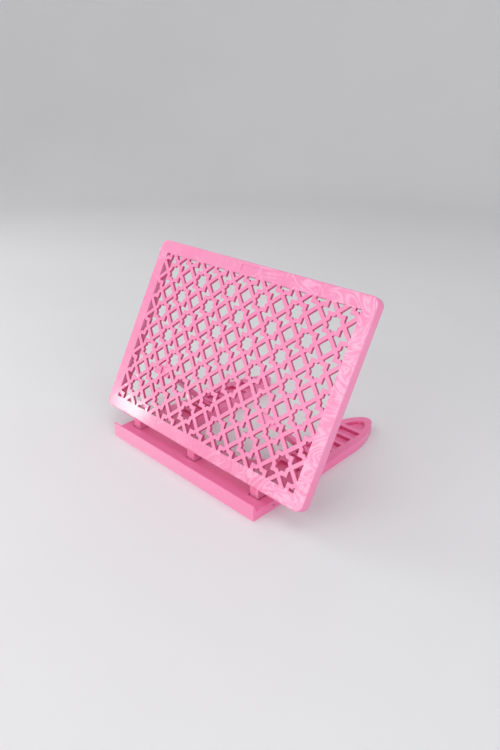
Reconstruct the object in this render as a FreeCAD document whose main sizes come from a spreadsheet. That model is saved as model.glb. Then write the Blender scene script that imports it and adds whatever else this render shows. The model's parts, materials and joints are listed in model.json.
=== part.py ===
"""Quran stand: a pierced reading board hinged to a flat base frame and propped by two folding legs.

Millimetres. +X runs along the ledge, +Y towards the back and +Z up. The origin is at the middle of
the footprint, on the surface that the base frame lies on.
"""

import FreeCAD, Part
import math
import os
import re

import Sketcher

Vector = FreeCAD.Vector

# Every driving dimension: its alias in the sheet, its value in millimetres (or degrees, a count or
# a share, where it says so) and what it is. "reach" is a distance behind the front of the rail and
# "half" a distance from the middle of the stand.
SIZES = [
    ("board_width", 325, "reading board, left to right"),
    ("board_height", 220, "reading board, bottom edge to top edge"),
    ("board_tilt", 61.2, "degrees between the board and the table"),
    ("board_reach", 19.2, "bottom front edge of the board"),
    ("board_lift", 21.6, "bottom front edge of the board above the table"),
    ("border_depth", 12, "depth of the board's border"),
    ("corner_radius", 9, "rounded corners of the board"),
    ("front_round", 1.5, "rounding of the board's front edge"),
    ("back_round", 0.8, "rounding of the board's back edge"),
    ("tile_pitch", 24.5, "one star or diamond of the lattice"),
    ("tile_columns", 12, "count of tiles across the window"),
    ("window_height", 189.4, "height of the latticed window"),
    ("ribbon_share", 0.18, "width of the lattice's ribbons as a share of the pitch"),
    ("lattice_depth", 3.5, "thickness of the lattice"),
    ("lattice_edge", 1, "how far the lattice runs into the border"),
    ("panel_width", 40, "sunk panel in the top border"),
    ("panel_height", 7.5, "sunk panel in the top border"),
    ("panel_sink", 0.8, "sunk panel in the top border"),
    ("frame_length", 239, "base frame, front to back"),
    ("frame_height", 10, "thickness of the base frame"),
    ("frame_round", 0.8, "rounding of the base frame's top edge"),
    ("rail_width", 238, "front rail, end to end"),
    ("rail_depth", 62, "front rail, front to back"),
    ("rail_straight", 40, "straight part of the rail's ends"),
    ("lip_height", 18, "top of the lip that holds the book"),
    ("lip_top", 2, "thickness of the lip at its top"),
    ("lip_foot", 4, "thickness of the lip at its foot"),
    ("lip_round", 0.7, "rounding of the lip's top edges"),
    ("arm_half", 63, "inner edge of an arm"),
    ("arm_fillet", 35, "fillet between the rail and an arm"),
    ("waist_half", 115, "outer edge of an arm at its waist"),
    ("waist_reach", 115, "waist of an arm"),
    ("haunch_half", 113, "outer edge of an arm where it starts to curve"),
    ("haunch_reach", 165, "start of an arm's outer curve"),
    ("haunch_radius", 122, "outer curve of an arm"),
    ("apex_half", 88.4, "where an arm's outer and inner curves would meet"),
    ("apex_reach", 243.9, "where an arm's outer and inner curves would meet"),
    ("tip_radius", 10.4, "rounding of that corner"),
    ("cheek_reach", 198, "start of an arm's inner curve"),
    ("ladder_inner_half", 73, "inner end of a ladder slot"),
    ("ladder_outer_half", 102, "outer end of a ladder slot"),
    ("ladder_reach", 85.5, "middle of the foremost ladder slot"),
    ("ladder_pitch", 18, "one ladder slot to the next"),
    ("ladder_gap", 13.3, "width of a ladder slot"),
    ("ladder_count", 7, "count of straight ladder slots in one arm"),
    ("ladder_sink", 4.3, "floor of a ladder slot and of the eye below the arm's top"),
    ("eye_reach", 207, "front edge of the eye, the last slot, in an arm's tip"),
    ("eye_inner_half", 74, "inner front corner of the eye"),
    ("eye_outer_half", 99, "outer front corner of the eye"),
    ("eye_apex_half", 86, "back corner of the eye"),
    ("eye_apex_reach", 228.5, "back corner of the eye"),
    ("eye_outer_radius", 28, "outer side of the eye"),
    ("eye_inner_radius", 32, "inner side of the eye"),
    ("hinge_reach", 30, "hinge axis"),
    ("hinge_height", 5, "hinge axis above the table"),
    ("hinge_pitch", 100, "one hinge lug to the next"),
    ("hinge_count", 3, "count of hinge lugs"),
    ("lug_width", 11.5, "hinge lug, left to right"),
    ("lug_radius", 4.5, "hinge lug around the rod"),
    ("lug_front", 9.5, "front face of the lug in front of the hinge axis"),
    ("lug_front_rise", 17.5, "top of the lug's front face above the hinge axis"),
    ("lug_back_rise", 23, "top of the lug's back face above the hinge axis"),
    ("slot_width", 15, "slot in the rail for a hinge lug"),
    ("slot_start", 19, "reach of the front end of a lug slot"),
    ("slot_end", 49.5, "reach of the back end of a lug slot"),
    ("rod_radius", 1.5, "hinge rod"),
    ("rod_length", 230, "hinge rod"),
    ("rod_recess", 1, "end of the hinge rod inside the end of the rail"),
    ("running_gap", 0.05, "radial clearance of a turning fit"),
    ("leg_half", 87, "middle of a leg"),
    ("leg_width", 21, "prop leg"),
    ("leg_thickness", 4, "prop leg"),
    ("leg_length", 98, "prop leg, pivot to foot"),
    ("leg_slope", 46.7, "degrees between a leg and the table"),
    ("foot_round", 1.9, "rounding of a leg's foot"),
    ("pivot_rise", 68, "leg pivot up the board from its bottom edge"),
    ("pivot_depth", 7, "leg pivot behind the board's face"),
    ("knuckle_radius", 3.2, "ears and barrel around a leg's pin"),
    ("knuckle_height", 12, "pad behind the lattice that carries the ears"),
    ("knuckle_sink", 1.5, "front of that pad behind the board's face"),
    ("ear_width", 2.5, "one ear"),
    ("ear_foot", 3, "start of an ear behind the board's face"),
    ("ear_gap", 0.4, "side play between a leg and an ear"),
    ("ear_angle", 20, "degrees from an ear's widest point to the end of its round tip"),
    ("pin_radius", 1.25, "leg pin"),
]

ALIASES = {alias for alias, _, _ in SIZES}

document = FreeCAD.newDocument("quran_stand")
sizes = document.addObject("Spreadsheet::Sheet", "Sizes")
for row, (alias, number, meaning) in enumerate(SIZES, start=1):
    sizes.set(f"A{row}", meaning)
    sizes.set(f"B{row}", str(number))
    sizes.setAlias(f"B{row}", alias)
document.recompute()


# ---- formulas in the sheet's aliases -------------------------------------------------------------

def in_sheet(formula):
    """The formula with each alias written as a reference to the sheet."""
    def reference(word):
        return f"Sizes.{word[0]}" if word[0] in ALIASES else word[0]

    return re.sub(r"[a-z_]+", reference, formula)


def value(formula):
    """What a formula comes to with the sheet's present values."""
    result = sizes.evalExpression(in_sheet(formula))
    return float(getattr(result, "Value", result))


def bind(thing, name, formula):
    """Tie a property to the sheet."""
    thing.setExpression(name, in_sheet(formula))


def reach(distance):
    """Y of a place this far behind the front of the rail."""
    return f"({distance}) - frame_length / 2"


# ---- sketches ------------------------------------------------------------------------------------

def new_body(label):
    body = document.addObject("PartDesign::Body", label)
    body.Label = label
    return body


def new_sketch(body, name, plane, offset="0"):
    """A sketch on one of the body's own planes, moved along the plane's normal by the offset."""
    sketch = body.newObject("Sketcher::SketchObject", name)
    origin_plane = next(item for item in body.Origin.OriginFeatures if item.Role == plane)
    sketch.AttachmentSupport = [(origin_plane, "")]
    sketch.MapMode = "FlatFace"
    bind(sketch, "AttachmentOffset.Base.z", offset)
    return sketch


def fix_length(sketch, kind, target, formula):
    """One constraint of a sketch whose size follows the sheet."""
    index = sketch.addConstraint(Sketcher.Constraint(kind, *target, value(formula)))
    bind(sketch, f"Constraints[{index}]", formula)


def fix_point(sketch, item, end, across, up):
    """Hold one point of a sketch at its distances from the sketch's origin."""
    fix_length(sketch, "DistanceX", (-1, 1, item, end), across)
    fix_length(sketch, "DistanceY", (-1, 1, item, end), up)


def circle(sketch, across, up, radius):
    centre = Vector(value(across), value(up), 0)
    item = sketch.addGeometry(Part.Circle(centre, Vector(0, 0, 1), value(radius)))
    fix_point(sketch, item, 3, across, up)
    fix_length(sketch, "Radius", (item,), radius)


def arc_between(start, end, radius):
    """The short arc from start to end. It bulges to the right of the way it goes, or to the left
    when the radius is negative."""
    chord = end - start
    right = Vector(chord.y, -chord.x, 0).normalize()
    sagitta = abs(radius) - math.sqrt(radius ** 2 - chord.Length ** 2 / 4)
    return Part.Arc(start, (start + end) * 0.5 + right * math.copysign(sagitta, radius), end)


def outline(sketch, corners):
    """A closed outline. A corner is (across, up) before a straight edge and (across, up, radius)
    before an arc, whose radius is negative where the arc is hollow."""
    points = [Vector(value(corner[0]), value(corner[1]), 0) for corner in corners]
    items = []
    for corner, point, following in zip(corners, points, points[1:] + points[:1]):
        if len(corner) == 3:
            edge = arc_between(point, following, value(corner[2]))
        else:
            edge = Part.LineSegment(point, following)
        items.append(sketch.addGeometry(edge))

    for number, (corner, point) in enumerate(zip(corners, points)):
        here, before = items[number], items[number - 1]
        start = 1 if sketch.getPoint(here, 1).isEqual(point, 1e-6) else 2
        finish = 1 if sketch.getPoint(before, 1).isEqual(point, 1e-6) else 2
        sketch.addConstraint(Sketcher.Constraint("Coincident", before, finish, here, start))
        fix_point(sketch, here, start, corner[0], corner[1])
        if len(corner) == 3:
            fix_length(sketch, "Radius", (here,), corner[2].lstrip("-"))


def rectangle(sketch, left, right, low, high):
    outline(sketch, [(left, low), (right, low), (right, high), (left, high)])


def rounded_rectangle(sketch, width, height, radius):
    """A rectangle that stands on the sketch's origin, counter-clockwise."""
    side = f"{width} / 2"
    outline(sketch, [
        (f"{radius} - {side}", "0"),
        (f"{side} - {radius}", "0", radius),
        (side, radius),
        (side, f"{height} - {radius}", radius),
        (f"{side} - {radius}", height),
        (f"{radius} - {side}", height, radius),
        (f"-{side}", f"{height} - {radius}"),
        (f"-{side}", radius, radius),
    ])


def with_mirror(half):
    """The corners of a right half followed by their mirror images, back to the first corner."""
    mirrored = []
    for number in reversed(range(len(half))):
        across, up = half[number][:2]
        arc = half[number - 1][2:] if number else ()
        mirrored.append((f"-({across})", up, *arc))
    return half + mirrored


# ---- features ------------------------------------------------------------------------------------

def feature_from(body, kind, sketch, length, symmetric, reverse):
    feature = body.newObject(f"PartDesign::{kind}", f"{sketch.Name}_{kind.lower()}")
    feature.Profile = sketch
    feature.SideType = "Symmetric" if symmetric else "One side"
    feature.Reversed = reverse
    bind(feature, "Length", length)
    body.Tip = feature
    document.recompute()
    return feature


def pad(body, sketch, length, symmetric=False, reverse=False):
    return feature_from(body, "Pad", sketch, length, symmetric, reverse)


def pocket(body, sketch, length, symmetric=False, reverse=False):
    """Cut a sketch out of the body, and make sure that it took something away."""
    before = body.Shape.Volume
    feature = feature_from(body, "Pocket", sketch, length, symmetric, reverse)
    if body.Shape.Volume > before - 1e-3:
        raise RuntimeError(f"{sketch.Name} cuts nothing")
    return feature


def repeat(body, features, axis, length, count):
    """A row of copies of some features along an axis of the first one's sketch."""
    pattern = body.newObject("PartDesign::LinearPattern", f"{features[0].Name}_row")
    pattern.Originals = features
    pattern.Direction = (features[0].Profile[0], [axis])
    bind(pattern, "Length", length)
    bind(pattern, "Occurrences", count)
    body.Tip = pattern
    document.recompute()


def round_edges(body, name, radius, chosen):
    """Round those edges of the body's present shape that the test chooses."""
    edges = enumerate(body.Shape.Edges, start=1)
    names = [f"Edge{number}" for number, edge in edges if chosen(edge.BoundBox)]
    if not names:
        raise RuntimeError(f"{name} finds no edge")
    base = body.Tip
    fillet = body.newObject("PartDesign::Fillet", name)
    fillet.Base = (base, names)
    bind(fillet, "Radius", radius)
    body.Tip = fillet
    document.recompute()


def lies_at(low, high, level):
    """Whether a box that runs from low to high lies flat in the plane at this level."""
    return abs(low - level) < 1e-3 and abs(high - level) < 1e-3


def place(thing, back, up, angle, across="0"):
    """Put a sub-part in the stand's frame, turned about an axis along X."""
    thing.Placement = FreeCAD.Placement(Vector(), FreeCAD.Rotation(Vector(1, 0, 0), 10))
    bind(thing, "Placement.Base.x", across)
    bind(thing, "Placement.Base.y", back)
    bind(thing, "Placement.Base.z", up)
    bind(thing, "Placement.Rotation.Angle", f"({angle}) * 1deg")


# ---- base frame ----------------------------------------------------------------------------------

def frame_plan():
    """The frame from above: the rail's right end, the right arm round its tip, and the mirror. An
    arm's inner curve leaves its straight inner edge without a kink."""
    inset, rise = "(apex_half - arm_half)", "(apex_reach - cheek_reach)"
    cheek_radius = f"({inset} ^ 2 + {rise} ^ 2) / (2 * {inset})"
    return with_mirror([
        ("rail_width / 2", reach("0")),
        ("rail_width / 2", reach("rail_straight")),
        ("waist_half", reach("waist_reach")),
        ("haunch_half", reach("haunch_reach"), "haunch_radius"),
        ("apex_half", reach("apex_reach"), cheek_radius),
        ("arm_half", reach("cheek_reach")),
        ("arm_half", reach("rail_depth + arm_fillet"), "-arm_fillet"),
        ("arm_half - arm_fillet", reach("rail_depth")),
    ])


def add_lip(body):
    """The lip that keeps the book on the ledge: upright in front, sloping at the back."""
    profile = new_sketch(body, "lip_profile", "YZ_Plane")
    outline(profile, [
        (reach("0"), "0"),
        (reach("lip_foot"), "0"),
        (reach("lip_foot"), "frame_height"),
        (reach("lip_top"), "lip_height"),
        (reach("0"), "lip_height"),
    ])
    pad(body, profile, "rail_width", symmetric=True)
    top = value("lip_height")
    round_edges(body, "lip_rounding", "lip_round", lambda box: lies_at(box.ZMin, box.ZMax, top))


def cut_lug_slots(body):
    """Slots in the rail that the board's hinge lugs swing in."""
    slot = new_sketch(body, "lug_slot", "XY_Plane")
    rectangle(
        slot,
        "-hinge_pitch - slot_width / 2",
        "-hinge_pitch + slot_width / 2",
        reach("slot_start"),
        reach("slot_end"),
    )
    cut = pocket(body, slot, "4 * frame_height", symmetric=True)
    repeat(body, [cut], "H_Axis", "2 * hinge_pitch", "hinge_count")


def cut_ladders(body):
    """The slots sunk into both arms that the feet of the legs stand in."""
    slots = new_sketch(body, "ladder_slots", "XY_Plane", "frame_height")
    front, back = (reach(f"ladder_reach {sign} ladder_gap / 2") for sign in "-+")
    rectangle(slots, "ladder_inner_half", "ladder_outer_half", front, back)
    rectangle(slots, "-ladder_outer_half", "-ladder_inner_half", front, back)
    cut = pocket(body, slots, "ladder_sink")
    repeat(body, [cut], "V_Axis", "(ladder_count - 1) * ladder_pitch", "ladder_count")


def cut_tip_eyes(body):
    """The pointed slot sunk into the tip of each arm."""
    eyes = new_sketch(body, "tip_eyes", "XY_Plane", "frame_height")
    for sign in ("", "-"):
        corners = [
            ("eye_inner_half", "eye_reach"),
            ("eye_outer_half", "eye_reach", f"{sign}eye_outer_radius"),
            ("eye_apex_half", "eye_apex_reach", f"{sign}eye_inner_radius"),
        ]
        outline(eyes, [(f"{sign}{across}", reach(back), *arc) for across, back, *arc in corners])
    pocket(body, eyes, "ladder_sink")


def bore_for_rod(body):
    """The hole for the hinge rod, blind at the left end and open at the right."""
    mouth = new_sketch(body, "rod_bore", "YZ_Plane", "rail_width / 2 - rod_recess - rod_length")
    circle(mouth, reach("hinge_reach"), "hinge_height", "rod_radius")
    pocket(body, mouth, "rod_length + 2 * rod_recess", reverse=True)


def make_base_frame():
    body = new_body("base_frame")
    plan = new_sketch(body, "frame_plan", "XY_Plane")
    outline(plan, frame_plan())
    pad(body, plan, "frame_height")
    apex = value(reach("apex_reach"))
    round_edges(body, "tip_rounding", "tip_radius", lambda box: lies_at(box.YMin, box.YMax, apex))
    top = value("frame_height")
    round_edges(body, "frame_rounding", "frame_round", lambda box: lies_at(box.ZMin, box.ZMax, top))
    add_lip(body)
    cut_lug_slots(body)
    cut_ladders(body)
    cut_tip_eyes(body)
    bore_for_rod(body)
    return body


# ---- reading board, lying face up with its bottom edge on the X axis -----------------------------

def on_board(back, up):
    """A distance back and up in the stand's frame, as (up the board, out of its face)."""
    tilt = "board_tilt * 1deg"
    return (
        f"({back}) * cos({tilt}) + ({up}) * sin({tilt})",
        f"({up}) * cos({tilt}) - ({back}) * sin({tilt})",
    )


def from_hinge(back, up):
    """A place given from the hinge axis in the stand's frame, in the board's own frame."""
    return on_board(f"hinge_reach - board_reach + ({back})", f"hinge_height - board_lift + ({up})")


def add_hinge_lugs(body):
    """Upright lugs that hang from the board's bottom edge and turn on the hinge rod."""
    neck = new_sketch(body, "lug_neck", "YZ_Plane", "-hinge_pitch")
    outline(neck, [
        from_hinge("-lug_front", "0"),
        from_hinge("0", "-lug_radius"),
        from_hinge("lug_radius", "0"),
        from_hinge("lug_radius", "lug_back_rise"),
        from_hinge("-lug_front", "lug_front_rise"),
    ])
    barrel = new_sketch(body, "lug_barrel", "YZ_Plane", "-hinge_pitch")
    circle(barrel, *from_hinge("0", "0"), "lug_radius")
    bore = new_sketch(body, "lug_bore", "YZ_Plane", "-hinge_pitch")
    circle(bore, *from_hinge("0", "0"), "rod_radius + running_gap")
    features = [
        pad(body, neck, "lug_width", symmetric=True),
        pad(body, barrel, "lug_width", symmetric=True),
        pocket(body, bore, "2 * lug_width", symmetric=True),
    ]
    repeat(body, features, "N_Axis", "2 * hinge_pitch", "hinge_count")


def make_border():
    """The board's border with its window and hinge lugs."""
    body = new_body("board_border")
    plate = new_sketch(body, "border_outline", "XY_Plane")
    rounded_rectangle(plate, "board_width", "board_height", "corner_radius")
    pad(body, plate, "border_depth", reverse=True)
    back = -value("border_depth")
    round_edges(body, "front_rounding", "front_round", lambda box: lies_at(box.ZMin, box.ZMax, 0))
    round_edges(body, "back_rounding", "back_round", lambda box: lies_at(box.ZMin, box.ZMax, back))

    window = new_sketch(body, "window", "XY_Plane")
    half_width = "tile_pitch * tile_columns / 2"
    low, high = (f"(board_height {sign} window_height) / 2" for sign in "-+")
    rectangle(window, f"-{half_width}", half_width, low, high)
    pocket(body, window, "4 * border_depth", symmetric=True)

    panel = new_sketch(body, "sunk_panel", "XY_Plane")
    middle = "(3 * board_height + window_height) / 4"
    low, high = (f"{middle} {sign} panel_height / 2" for sign in "-+")
    rectangle(panel, "-panel_width / 2", "panel_width / 2", low, high)
    pocket(body, panel, "panel_sink")

    add_hinge_lugs(body)
    return body


def star_outline(diamond, square):
    """Eight points: a diamond and a square of the same side laid over each other."""
    step = diamond - square
    eighth = [(diamond, 0), (square, step), (square, square), (step, square)]
    corners = []
    for _ in range(4):
        corners += eighth
        eighth = [(-y, x) for x, y in eighth]
    return corners


def bow_outline(diamond, square, ribbon):
    """The hole between two stars and two diamonds, with a waist on the line between the stars."""
    near = 0.5 - square - ribbon
    far = diamond - near
    half = [(diamond, 0), (far, near), (near, near), (near, far), (0, diamond)]
    return half + [(-x, -y) for x, y in half]


def hole_face(corners, pitch, across, up, mirror=1):
    """One hole of the lattice, its corners given in pitches from its middle."""
    points = [Vector(pitch * (across + mirror * x), pitch * (up + y), 0) for x, y in corners]
    return Part.Face(Part.makePolygon(points + points[:1]))


def lattice_holes(pitch, ribbon, columns, rows):
    """Stars and diamonds in turn, and a bow between every four of them, from the middle out."""
    diamond = 0.5 - ribbon / math.sqrt(2)
    square = diamond / math.sqrt(2)
    tiles = {
        0: star_outline(diamond, square),
        1: [(diamond, 0), (0, diamond), (-diamond, 0), (0, -diamond)],
    }
    bow = bow_outline(diamond, square, ribbon)
    holes = []
    for column in range(-columns, columns + 1):
        for row in range(-rows, rows + 1):
            odd = (column + row) % 2
            holes.append(hole_face(tiles[odd], pitch, column, row))
            holes.append(hole_face(bow, pitch, column + 0.5, row + 0.5, mirror=1 - 2 * odd))
    return holes


def flat_rectangle(width, height):
    return Part.makePlane(width, height, Vector(-width / 2, -height / 2, 0))


def make_lattice():
    """The pierced sheet in the window, whose edge is buried in the border."""
    pitch = value("tile_pitch")
    width = pitch * value("tile_columns")
    height = value("window_height")
    edge = 2 * value("lattice_edge")
    window = flat_rectangle(width, height)
    columns, rows = (math.ceil(length / 2 / pitch) for length in (width, height))
    holes = Part.makeCompound(lattice_holes(pitch, value("ribbon_share"), columns, rows))
    pierced = window.cut(holes)
    rim = flat_rectangle(width + edge, height + edge).cut(window)
    ribbons = pierced.fuse(rim).removeSplitter()

    lattice = document.addObject("Part::Feature", "board_lattice")
    lattice.Shape = ribbons.extrude(Vector(0, 0, -value("lattice_depth")))
    lattice.Placement.Base = Vector(0, value("board_height / 2"), 0)
    return lattice


def make_knuckle(side):
    """The pad behind the lattice and the two ears that carry the pin of one leg."""
    name = {"-": "knuckle_left", "": "knuckle_right"}[side]
    middle = f"{side}leg_half"
    ear_middle = "(leg_width / 2 + ear_gap + ear_width / 2)"
    body = new_body(name)

    plate = new_sketch(body, f"{name}_pad", "XY_Plane", "-knuckle_sink")
    half_width = "(leg_width / 2 + ear_gap + ear_width)"
    low, high = (f"pivot_rise {sign} knuckle_height / 2" for sign in "-+")
    rectangle(plate, f"{middle} - {half_width}", f"{middle} + {half_width}", low, high)
    pad(body, plate, "lattice_depth - knuckle_sink", reverse=True)

    tip_half = "knuckle_radius * cos(ear_angle * 1deg)"
    tip_depth = "-pivot_depth - knuckle_radius * sin(ear_angle * 1deg)"
    for sign in "-+":
        ear = new_sketch(body, f"{name}_ear", "YZ_Plane", f"{middle} {sign} {ear_middle}")
        outline(ear, [
            (low, "-ear_foot"),
            (f"pivot_rise - {tip_half}", tip_depth, "knuckle_radius"),
            (f"pivot_rise + {tip_half}", tip_depth),
            (high, "-ear_foot"),
        ])
        circle(ear, "pivot_rise", "-pivot_depth", "pin_radius")
        pad(body, ear, "ear_width", symmetric=True)
    return body


def make_board_panel():
    board = document.addObject("Part::MultiFuse", "board_panel")
    board.Shapes = [make_border(), make_lattice(), make_knuckle("-"), make_knuckle("")]
    place(board, reach("board_reach"), "board_lift", "board_tilt")
    return board


# ---- hinge rod, legs and their pins --------------------------------------------------------------

PIVOT_BACK = reach(
    "board_reach + pivot_rise * cos(board_tilt * 1deg) + pivot_depth * sin(board_tilt * 1deg)"
)
PIVOT_UP = "board_lift + pivot_rise * sin(board_tilt * 1deg) - pivot_depth * cos(board_tilt * 1deg)"


def make_pin(label, radius, length, start, back, up):
    """A plain round pin along X."""
    pin = document.addObject("Part::Cylinder", label)
    pin.Label = label
    bind(pin, "Radius", radius)
    bind(pin, "Height", length)
    pin.Placement = FreeCAD.Placement(Vector(), FreeCAD.Rotation(Vector(0, 1, 0), 90))
    bind(pin, "Placement.Base.x", start)
    bind(pin, "Placement.Base.y", back)
    bind(pin, "Placement.Base.z", up)
    return pin


def make_leg(side):
    """A flat prop leg, modelled along +Y from its pivot, with a barrel around its pin."""
    name = {"-": "prop_leg_left", "": "prop_leg_right"}[side]
    body = new_body(name)
    plate = new_sketch(body, f"{name}_plate", "YZ_Plane")
    rectangle(plate, "0", "leg_length", "-leg_thickness / 2", "leg_thickness / 2")
    pad(body, plate, "leg_width", symmetric=True)
    foot = value("leg_length")
    round_edges(
        body,
        f"{name}_foot",
        "foot_round",
        lambda box: lies_at(box.YMin, box.YMax, foot) and lies_at(box.ZMin, box.ZMax, box.ZMin)
    )
    barrel = new_sketch(body, f"{name}_barrel", "YZ_Plane")
    circle(barrel, "0", "0", "knuckle_radius")
    pad(body, barrel, "leg_width", symmetric=True)
    bore = new_sketch(body, f"{name}_bore", "YZ_Plane")
    circle(bore, "0", "0", "pin_radius + running_gap")
    pocket(body, bore, "2 * leg_width", symmetric=True)
    place(body, PIVOT_BACK, PIVOT_UP, "-leg_slope", f"{side}leg_half")
    return body


def make_leg_pin(side):
    name = {"-": "leg_pin_left", "": "leg_pin_right"}[side]
    length = "(leg_width + 2 * ear_gap + 2 * ear_width)"
    return make_pin(name, "pin_radius", length, f"{side}leg_half - {length} / 2", PIVOT_BACK, PIVOT_UP)


def make_hinge_rod():
    start = "rail_width / 2 - rod_recess - rod_length"
    return make_pin("hinge_rod", "rod_radius", "rod_length", start, reach("hinge_reach"), "hinge_height")


# ---- assembly and files --------------------------------------------------------------------------

def check(pieces):
    """Every object has computed, and every piece is one valid solid."""
    for thing in document.Objects:
        if "Invalid" in thing.State or "Error" in thing.State:
            raise RuntimeError(f"{thing.Name} did not compute: {thing.State}")
    for piece in pieces:
        if piece.Shape.isNull() or not piece.Shape.isValid() or len(piece.Shape.Solids) != 1:
            raise RuntimeError(f"{piece.Label} is not one valid solid")


def main():
    pieces = [make_base_frame(), make_board_panel(), make_hinge_rod()]
    for side in ("-", ""):
        pieces += [make_leg(side), make_leg_pin(side)]
    document.recompute()
    check(pieces)
    os.makedirs("parts", exist_ok=True)
    for piece in pieces:
        piece.Shape.exportStep(f"parts/{piece.Label}.step")
        box = piece.Shape.BoundBox
        print(
            f"{piece.Label}: volume {piece.Shape.Volume:.0f},",
            f"x {box.XMin:.2f} to {box.XMax:.2f},",
            f"y {box.YMin:.2f} to {box.YMax:.2f},",
            f"z {box.ZMin:.2f} to {box.ZMax:.2f}",
        )


main()
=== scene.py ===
import json
import math

import bpy
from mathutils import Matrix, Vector

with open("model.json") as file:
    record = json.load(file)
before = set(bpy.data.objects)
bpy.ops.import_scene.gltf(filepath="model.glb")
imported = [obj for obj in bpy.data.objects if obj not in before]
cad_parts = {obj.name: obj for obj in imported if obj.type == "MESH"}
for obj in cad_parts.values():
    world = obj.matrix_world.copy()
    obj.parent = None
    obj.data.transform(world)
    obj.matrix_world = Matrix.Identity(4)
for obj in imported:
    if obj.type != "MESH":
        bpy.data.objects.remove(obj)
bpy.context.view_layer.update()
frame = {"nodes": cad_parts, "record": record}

# Colours, in linear light.
BOARD_PINK = (0.86, 0.275, 0.48)
FRAME_PINK = (0.90, 0.21, 0.43)
DEEP_PINK = (0.84, 0.13, 0.34)
# Deeper pink for painted shade on the walls of holes and slots.
WALL_SHADE_PINK = (0.66, 0.06, 0.22)
# Pale pink for the flow lines, which are partly a painted reflection, and for the painted sheen on the
# lip's front.
SWIRL_AND_SHEEN_PINK = (0.95, 0.43, 0.61)
TABLE_WHITE = (0.80, 0.80, 0.81)
TABLE_SHADE = (0.77, 0.77, 0.785)
STEEL = (0.55, 0.54, 0.53)
DARK_STEEL = (0.34, 0.33, 0.33)
WHITE_LIGHT = (1, 1, 1)
WARM_LIGHT = (1.0, 0.92, 0.74)
SKY_LIGHT = (0.97, 0.97, 1.0)
SKY_STRENGTH = 0.4

# The camera looks at a point near the middle of the stand from the right, in front and above.
CAMERA_TARGET = Vector((0.0042, -0.0087, 0.0858))
CAMERA_DISTANCE = 0.75
CAMERA_AZIMUTH = math.radians(44.87)
CAMERA_ELEVATION = math.radians(25.55)
LENS_MM = 31.01
SENSOR_MM = 36
NEAREST_SEEN = 0.01

# The board's face and its latticed window, in metres.
BOARD_HEIGHT = 0.220
WINDOW_WIDTH = 0.294
WINDOW_HEIGHT = 0.1894

# How far up the face, from its bottom edge, the record's board_face mount is, in metres.
FACE_MOUNT_RISE = 0.0075

# The field of ladder slots in each arm, in metres.
LADDER_MIDDLE = 0.0875
LADDER_CENTRE = 0.032
LADDER_WIDTH = 0.029
LADDER_LENGTH = 0.145

# Painted shade on a hole's walls, a deeper pink: it fades as a surface turns from upright to lie along
# the face, over this range of the turn, and this is the most of it.
WALL_SHADE_TURN = (0.1, 0.5)
WALL_SHADE_DEPTH = 0.85

# Edge rounding that a mould gives, in metres.
EDGE_ROUND = {
    "board_panel": 0.0004,
    "base_frame": 0.0003,
    "prop_leg_left": 0.0006,
    "prop_leg_right": 0.0006,
    "hinge_rod": 0.0002,
    "leg_pin_left": 0.0002,
    "leg_pin_right": 0.0002,
}
MERGE_DISTANCE = 1e-6
SHARP_ANGLE = math.radians(30)
BEVEL_SEGMENTS = 2

# The stage: the radii of its inner rings and its flat part, the radius of its bend and its
# height, all in metres, then how finely its bend and its round are divided.
STAGE_RINGS = (0.0001, 0.4, 0.8, 1.2)
STAGE_FLAT = 1.5
STAGE_BEND = 0.9
STAGE_TOP = 2.4
STAGE_BEND_STEPS = 24
STAGE_TURNS = 96

# Each light: name, place, what it faces, width and height, watts, colour.
STAND_MIDDLE = (0, 0, 0.1)
LIGHTS = (
    ("front_softbox", (-0.15, -1.5, 0.75), STAND_MIDDLE, (1.5, 1.0), 11.5, WHITE_LIGHT),
    ("right_softbox", (1.5, -0.25, 0.5), STAND_MIDDLE, (1.2, 0.8), 8, WHITE_LIGHT),
    ("window_left", (-1.35, -0.2, 0.9), STAND_MIDDLE, (0.7, 0.9), 4, WHITE_LIGHT),
    ("low_window", (-1.08, -0.95, 0.24), (-0.12, -0.1, 0.03), (0.10, 0.07), 1.5, WARM_LIGHT),
    ("overhead_softbox", (0.1, 0.2, 1.9), STAND_MIDDLE, (1.8, 1.8), 8, WHITE_LIGHT),
)


# ---- node helpers --------------------------------------------------------------------------------

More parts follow.
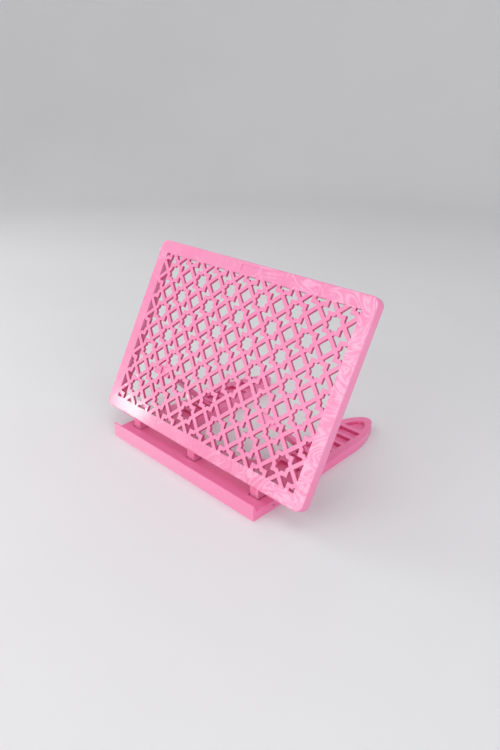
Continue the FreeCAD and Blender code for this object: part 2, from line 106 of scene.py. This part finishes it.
class Shader:
    """A material's node tree, with short calls for adding and joining nodes."""

    def __init__(self, name):
        self.material = bpy.data.materials.new(name)
        self.material.use_nodes = True
        self.tree = self.material.node_tree
        self.surface = self.tree.nodes["Principled BSDF"]

    def node(self, kind, settings=None, **inputs):
        """A node of this kind. settings are its properties; inputs are values or output sockets."""
        node = self.tree.nodes.new(f"ShaderNode{kind}")
        for name, setting in (settings or {}).items():
            setattr(node, name, setting)
        for name, given in inputs.items():
            self.feed(node.inputs[name.replace("_", " ")], given)
        return node

    def feed(self, socket, given):
        if isinstance(given, bpy.types.NodeSocket):
            self.tree.links.new(given, socket)
        elif isinstance(given, tuple) and len(given) == 3 and socket.type == "RGBA":
            socket.default_value = (*given, 1)
        else:
            socket.default_value = given

    def place(self):
        """Where a point is in the stand's frame, in metres."""
        return self.node("TexCoord").outputs["Object"]

    def noise(self, vector, scale, detail=2.0, distortion=0.0, roughness=0.5):
        node = self.node(
            "TexNoise",
            Vector=vector,
            Scale=scale,
            Detail=detail,
            Distortion=distortion,
            Roughness=roughness,
        )
        return node.outputs["Fac"]

    def ramp(self, value, low, high, start=0.0, end=1.0):
        """The value's stretch from low to high, spread smoothly over start to end."""
        node = self.node("MapRange", {"interpolation_type": "SMOOTHSTEP"}, Value=value)
        for name, number in zip(("From Min", "From Max", "To Min", "To Max"), (low, high, start, end)):
            node.inputs[name].default_value = number
        return node.outputs["Result"]

    def math(self, operation, first, second):
        node = self.node("Math", {"operation": operation})
        self.feed(node.inputs[0], first)
        self.feed(node.inputs[1], second)
        return node.outputs[0]

    def absolute(self, value):
        return self.math("ABSOLUTE", value, 0.0)

    def along(self, vector, direction):
        """How far a vector reaches in a direction."""
        node = self.node("VectorMath", {"operation": "DOT_PRODUCT"})
        self.feed(node.inputs[0], vector)
        self.feed(node.inputs[1], tuple(direction))
        return node.outputs["Value"]

    def mix(self, share, first, second):
        """The first colour where the share is 0, the second where it is 1."""
        node = self.node("Mix", {"data_type": "RGBA"})
        self.feed(node.inputs["Factor"], share)
        colours = [socket for socket in node.inputs if socket.type == "RGBA"]
        for socket, colour in zip(colours, (first, second)):
            self.feed(socket, colour)
        return next(socket for socket in node.outputs if socket.type == "RGBA")

    def bump(self, height, distance, strength=1.0, normal=None):
        node = self.node("Bump", Height=height, Distance=distance, Strength=strength)
        if normal is not None:
            self.feed(node.inputs["Normal"], normal)
        return node.outputs["Normal"]

    def finish(self, **inputs):
        for name, given in inputs.items():
            self.feed(self.surface.inputs[name.replace("_", " ")], given)
        return self.material


# ---- materials -----------------------------------------------------------------------------------

def board_plane():
    """The board's face: a point near its bottom edge, the way up it and the way out of it."""
    mount = next(mount for mount in frame["record"]["mounts"] if mount["name"] == "board_face")
    out = Vector(mount["axis"])
    up = Vector((0, out.z, -out.y))
    bottom = Vector(mount["pos_m"]) - up * FACE_MOUNT_RISE
    return bottom, up, out


def on_board(shader, place):
    """Across the board and up it, for every point of the stand."""
    bottom, up, _ = board_plane()
    across = shader.node("SeparateXYZ", Vector=place).outputs["X"]
    rise = shader.math("SUBTRACT", shader.along(place, up), bottom.dot(up))
    return across, rise


def in_window(shader, across, rise):
    """1 inside the latticed window, 0 in the border."""
    from_middle = shader.absolute(across)
    from_centre = shader.absolute(shader.math("SUBTRACT", rise, BOARD_HEIGHT / 2))
    beside = shader.math("SUBTRACT", from_middle, WINDOW_WIDTH / 2)
    beyond = shader.math("SUBTRACT", from_centre, WINDOW_HEIGHT / 2)
    outermost = shader.math("MAXIMUM", beside, beyond)
    return shader.ramp(outermost, low=-0.0012, high=-0.0004, start=1.0, end=0.0)


def flow_and_reflection_lines(shader, across, rise):
    """Thin wavy lines such as a melt leaves, as the contour lines of a smooth noise; they are partly a
    painted reflection on the glossy face.
    """
    flat = shader.node("CombineXYZ", X=across, Y=rise).outputs["Vector"]
    hills = shader.noise(flat, scale=14, detail=2, distortion=2.6, roughness=0.4)
    contours = shader.math("PINGPONG", shader.math("MULTIPLY", hills, 13.0), 0.5)
    flecks = shader.noise(flat, scale=210, detail=2, distortion=1.0)
    patches = shader.noise(flat, scale=38, detail=2, distortion=1.2)
    lines = shader.math("ADD", contours, shader.math("MULTIPLY", flecks, 0.3))
    return shader.math("ADD", lines, shader.math("MULTIPLY", patches, 0.8))


def marbled_with_painted_light(shader, place, plain):
    """The board's colour: pale flow lines in the border's face, partly a painted reflection and stronger
    towards +X, and painted shade on the walls of the lattice's holes.
    """
    across, rise = on_board(shader, place)
    facing = shader.along(shader.node("TexCoord").outputs["Normal"], board_plane()[2])
    window = in_window(shader, across, rise)
    # The pale lines, partly a painted reflection, grow stronger towards +X and show only on the border's
    # face.
    growth = shader.ramp(across, low=-0.06, high=0.15, start=-0.20, end=0.12)
    marks = shader.ramp(shader.math("ADD", flow_and_reflection_lines(shader, across, rise), growth), low=0.70, high=1.20)
    outside = shader.math("SUBTRACT", 1.0, window)
    face = shader.math("MULTIPLY", shader.ramp(facing, low=0.75, high=0.95), outside)
    swirled_and_reflecting = shader.mix(shader.math("MULTIPLY", marks, face), plain, SWIRL_AND_SHEEN_PINK)
    # Painted shade on the walls of the lattice's holes.
    wall_shade = shader.ramp(shader.absolute(facing), *WALL_SHADE_TURN, WALL_SHADE_DEPTH, 0.0)
    return shader.mix(shader.math("MULTIPLY", wall_shade, window), swirled_and_reflecting, WALL_SHADE_PINK)


def ladder_wall_shade(shader, split, normal):
    """The share of painted shade: 1 on the walls of the ladder slots, 0 elsewhere."""
    from_middle = shader.absolute(split.outputs["X"])
    beside = shader.absolute(shader.math("SUBTRACT", from_middle, LADDER_MIDDLE))
    along = shader.absolute(shader.math("SUBTRACT", split.outputs["Y"], LADDER_CENTRE))
    beyond = shader.math(
        "MAXIMUM",
        shader.math("SUBTRACT", beside, LADDER_WIDTH / 2),
        shader.math("SUBTRACT", along, LADDER_LENGTH / 2),
    )
    inside = shader.ramp(beyond, low=0.0003, high=0.0006, start=1.0, end=0.0)
    upright = shader.absolute(shader.along(normal, (0, 0, 1)))
    return shader.math("MULTIPLY", shader.ramp(upright, *WALL_SHADE_TURN, WALL_SHADE_DEPTH, 0.0), inside)


def frame_painted_light(shader, place, plain):
    """The frame's colour: a painted sheen, pale on the front of the lip and more so at its left, and
    painted shade on the walls of the ladder slots.
    """
    split = shader.node("SeparateXYZ", Vector=place)
    normal = shader.node("TexCoord").outputs["Normal"]
    # Painted sheen on the lip's front faces, stronger at its left.
    front = shader.ramp(shader.along(normal, (0, -1, 0)), low=0.7, high=0.95)
    front_sheen = shader.ramp(split.outputs["X"], low=-0.12, high=0.12, start=0.6, end=0.3)
    lit = shader.mix(shader.math("MULTIPLY", front, front_sheen), plain, SWIRL_AND_SHEEN_PINK)
    # Painted shade on the walls of the ladder slots.
    return shader.mix(ladder_wall_shade(shader, split, normal), lit, WALL_SHADE_PINK)


def plastic(name, base, pattern_and_light=None):
    """Satin pink plastic, a little uneven in colour, with a pattern and painted light of its own where
    one is given.
    """
    shader = Shader(name)
    place = shader.place()
    cloud = shader.noise(place, scale=14, detail=3, distortion=0.8)
    colour = shader.mix(shader.ramp(cloud, low=0.35, high=0.7, end=0.22), base, DEEP_PINK)
    if pattern_and_light:
        colour = pattern_and_light(shader, place, colour)

    sink = shader.noise(place, scale=60, detail=1)
    grain = shader.noise(place, scale=1100, detail=1)
    sunk_normal = shader.bump(sink, distance=0.0004, strength=0.12)
    normal = shader.bump(grain, distance=0.00002, strength=0.35, normal=sunk_normal)
    return shader.finish(
        Base_Color=colour,
        Roughness=shader.ramp(cloud, low=0.3, high=0.7, start=0.36, end=0.46),
        Normal=normal,
        Coat_Weight=0.25,
        Coat_Roughness=0.12,
        Subsurface_Weight=0.10,
        Subsurface_Radius=(0.004, 0.0012, 0.0018),
        Subsurface_Scale=1.0,
    )


def wire_steel():
    """Drawn steel wire, its fine marks along X."""
    shader = Shader("wire_steel")
    stretched = shader.node("Mapping", Vector=shader.place(), Scale=(40, 3000, 3000)).outputs["Vector"]
    marks = shader.noise(stretched, scale=1, detail=3)
    colour = shader.mix(shader.ramp(marks, low=0.3, high=0.7), STEEL, DARK_STEEL)
    return shader.finish(
        Base_Color=colour,
        Metallic=1.0,
        Roughness=shader.ramp(marks, low=0.3, high=0.7, start=0.22, end=0.4),
        Normal=shader.bump(marks, distance=0.00002, strength=0.5),
    )


def table_top():
    """A plain pale surface with the faintest unevenness."""
    shader = Shader("table_top")
    place = shader.place()
    cloud = shader.noise(place, scale=3, detail=3)
    colour = shader.mix(shader.ramp(cloud, low=0.3, high=0.7, end=0.5), TABLE_WHITE, TABLE_SHADE)
    grain = shader.noise(place, scale=400, detail=2)
    return shader.finish(
        Base_Color=colour,
        Roughness=0.55,
        Normal=shader.bump(grain, distance=0.00002, strength=0.5),
    )


# ---- the stand -----------------------------------------------------------------------------------

def soften_edges(node, width):
    """Round a CAD piece's sharp edges without changing its own mesh."""
    weld = node.modifiers.new("weld", "WELD")
    weld.merge_threshold = MERGE_DISTANCE
    bevel = node.modifiers.new("bevel", "BEVEL")
    bevel.width = width
    bevel.segments = BEVEL_SEGMENTS
    bevel.limit_method = "ANGLE"
    bevel.angle_limit = SHARP_ANGLE
    bevel.use_clamp_overlap = True
    bevel.harden_normals = True


def paint(node, material):
    if not node.material_slots:
        node.data.materials.append(material)
    for slot in node.material_slots:
        slot.material = material


def dress_stand():
    # The board gets painted shade in its holes and flow lines that are partly a painted reflection; the
    # frame gets a painted sheen and painted shade.
    materials = {
        "board_plastic": plastic("board_plastic", BOARD_PINK, marbled_with_painted_light),
        "frame_plastic": plastic("frame_plastic", FRAME_PINK, frame_painted_light),
        "leg_plastic": plastic("leg_plastic", FRAME_PINK),
        "rod_steel": wire_steel(),
    }
    slots = {entry["node"]: entry["material_slot"] for entry in frame["record"]["subparts"]}
    for name, node in frame["nodes"].items():
        paint(node, materials[slots[name]])
        soften_edges(node, EDGE_ROUND[name])


# ---- stage, lights and camera --------------------------------------------------------------------

def stage_profile():
    """The stage from its middle outwards: flat, then bent upwards, then upright."""
    profile = [(radius, 0.0) for radius in (*STAGE_RINGS, STAGE_FLAT)]
    for step in range(1, STAGE_BEND_STEPS + 1):
        angle = math.pi / 2 * step / STAGE_BEND_STEPS
        profile.append((
            STAGE_FLAT + STAGE_BEND * math.sin(angle),
            STAGE_BEND * (1 - math.cos(angle)),
        ))
    return profile + [(STAGE_FLAT + STAGE_BEND, STAGE_TOP)]


def make_stage():
    """A round pale floor that curves up into a wall all the way round."""
    profile = stage_profile()
    vertices = []
    for turn in range(STAGE_TURNS):
        angle = 2 * math.pi * turn / STAGE_TURNS
        vertices += [(radius * math.cos(angle), radius * math.sin(angle), up) for radius, up in profile]
    count = len(profile)
    faces = []
    for turn in range(STAGE_TURNS):
        here = turn * count
        there = (turn + 1) % STAGE_TURNS * count
        for step in range(count - 1):
            faces.append((here + step, here + step + 1, there + step + 1, there + step))
    mesh = bpy.data.meshes.new("stage_floor")
    mesh.from_pydata(vertices, [], faces)
    mesh.materials.append(table_top())
    mesh.shade_smooth()
    floor = bpy.data.objects.new("stage_floor", mesh)
    bpy.context.scene.collection.objects.link(floor)


def add_light(name, where, target, size, power, colour):
    lamp = bpy.data.lights.new(name, "AREA")
    lamp.shape = "RECTANGLE"
    lamp.size, lamp.size_y = size
    lamp.energy = power
    lamp.color = colour
    holder = bpy.data.objects.new(name, lamp)
    holder.location = where
    holder.rotation_euler = (Vector(target) - Vector(where)).to_track_quat("-Z", "Y").to_euler()
    bpy.context.scene.collection.objects.link(holder)


def light_scene():
    for light in LIGHTS:
        add_light(*light)
    world = bpy.data.worlds.new("studio")
    world.use_nodes = True
    background = world.node_tree.nodes["Background"]
    background.inputs["Color"].default_value = (*SKY_LIGHT, 1)
    background.inputs["Strength"].default_value = SKY_STRENGTH
    bpy.context.scene.world = world


def add_camera():
    direction = Vector((
        math.sin(CAMERA_AZIMUTH) * math.cos(CAMERA_ELEVATION),
        -math.cos(CAMERA_AZIMUTH) * math.cos(CAMERA_ELEVATION),
        math.sin(CAMERA_ELEVATION),
    ))
    camera = bpy.data.objects.new("camera", bpy.data.cameras.new("camera"))
    camera.data.lens = LENS_MM
    camera.data.sensor_width = SENSOR_MM
    camera.data.clip_start = NEAREST_SEEN
    camera.location = CAMERA_TARGET + direction * CAMERA_DISTANCE
    camera.rotation_euler = (-direction).to_track_quat("-Z", "Y").to_euler()
    bpy.context.scene.collection.objects.link(camera)
    bpy.context.scene.camera = camera
    bpy.context.scene.view_settings.view_transform = "Standard"


add_camera()
make_stage()
light_scene()
dress_stand()
